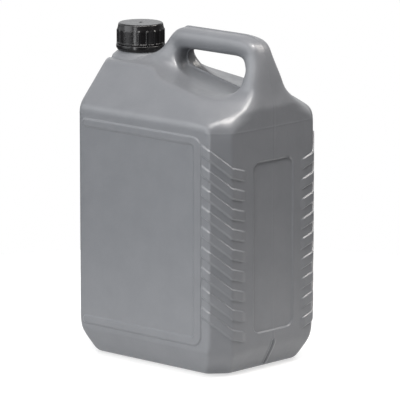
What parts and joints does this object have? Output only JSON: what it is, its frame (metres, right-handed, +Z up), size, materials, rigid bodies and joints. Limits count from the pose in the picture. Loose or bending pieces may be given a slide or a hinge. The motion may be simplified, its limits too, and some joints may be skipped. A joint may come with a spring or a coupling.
{
  "type": "oil canister",
  "caption": "Free-standing blow-moulded oil can with a hollow moulded-in handle, ribbed corners, and a screw cap over a tamper band.",
  "frame": {"origin": "on the floor, under the middle of the can's bounding box", "axes": "+Z up, +X towards the tall leg of the handle with the neck at -X, the wide label face looks along -Y"},
  "size_m": [0.1839, 0.1338, 0.2889],
  "materials": {
    "can_plastic": "satin silver-grey pigmented polyethylene",
    "cap_plastic": "semi-gloss black polyethylene",
    "liner_foam": "white foamed polyethylene wad",
    "liner_foil": "bright sealing foil"
  },
  "bodies": {
    "can": {"can_body": "can_plastic"},
    "liner": {"cap_liner": "liner_foam", "liner_foil": "liner_foil"},
    "cap": {"screw_cap": "cap_plastic"},
    "band": {"tamper_band": "cap_plastic"}
  },
  "joints": [
    {"name": "cap_lift", "type": "slide", "parent": "can", "child": "liner", "axis": [0, 0, 1], "range_m": [0, 0.01751]},
    {"name": "cap_turn", "type": "hinge", "parent": "liner", "child": "cap", "pos_m": [-0.0667, 0, 0.2764], "axis": [0, 0, 1], "range_deg": [0, 1260]},
    {"name": "band_turn", "type": "hinge", "parent": "can", "child": "band", "pos_m": [-0.0667, 0, 0.265], "axis": [0, 0, 1], "continuous": true}
  ],
  "couplings": [
    {"joint": "cap_lift", "follows": "cap_turn", "m_per_rad": 0.00079577}
  ]
}
